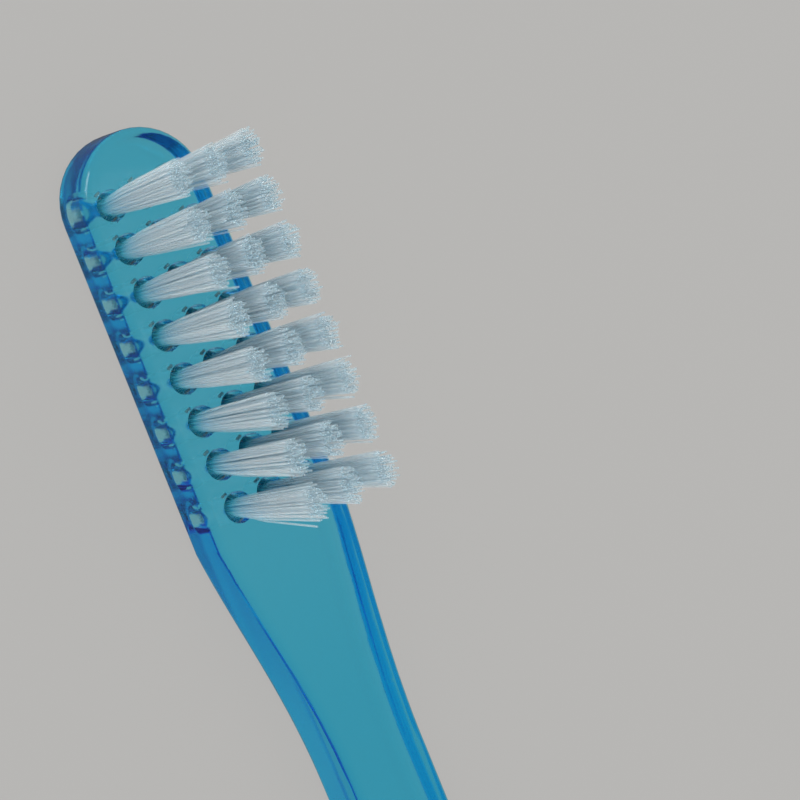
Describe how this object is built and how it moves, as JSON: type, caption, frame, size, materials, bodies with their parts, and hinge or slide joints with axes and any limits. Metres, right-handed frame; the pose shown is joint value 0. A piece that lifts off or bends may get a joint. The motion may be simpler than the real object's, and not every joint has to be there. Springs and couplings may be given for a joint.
{
  "type": "manual toothbrush",
  "caption": "Slim manual toothbrush with a clear blue one-piece handle and a compact straight head of white nylon tufts held by metal anchors.",
  "frame": {"origin": "under the middle of the brush, in the plane of its flat back", "axes": "+X along the length to the tip of the head, +Y across the width, +Z out of the face with the bristles"},
  "size_m": [0.175, 0.0104, 0.0132],
  "materials": {
    "clear_blue_plastic": "polished clear blue moulding, see-through",
    "nylon_bristle": "fine translucent white nylon filaments",
    "anchor_metal": "flat rolled strip of white metal, cut to length"
  },
  "bodies": {
    "root": {"handle": "clear_blue_plastic", "tuft_near_1": "nylon_bristle", "tuft_near_2": "nylon_bristle", "tuft_near_3": "nylon_bristle", "tuft_near_4": "nylon_bristle", "tuft_near_5": "nylon_bristle", "tuft_near_6": "nylon_bristle", "tuft_near_7": "nylon_bristle", "tuft_near_8": "nylon_bristle", "tuft_mid_1": "nylon_bristle", "tuft_mid_2": "nylon_bristle", "tuft_mid_3": "nylon_bristle", "tuft_mid_4": "nylon_bristle", "tuft_mid_5": "nylon_bristle", "tuft_mid_6": "nylon_bristle", "tuft_mid_7": "nylon_bristle", "tuft_mid_8": "nylon_bristle", "tuft_far_1": "nylon_bristle", "tuft_far_2": "nylon_bristle", "tuft_far_3": "nylon_bristle", "tuft_far_4": "nylon_bristle", "tuft_far_5": "nylon_bristle", "tuft_far_6": "nylon_bristle", "tuft_far_7": "nylon_bristle", "tuft_far_8": "nylon_bristle", "anchor_staples": "anchor_metal"}
  },
  "joints": []
}
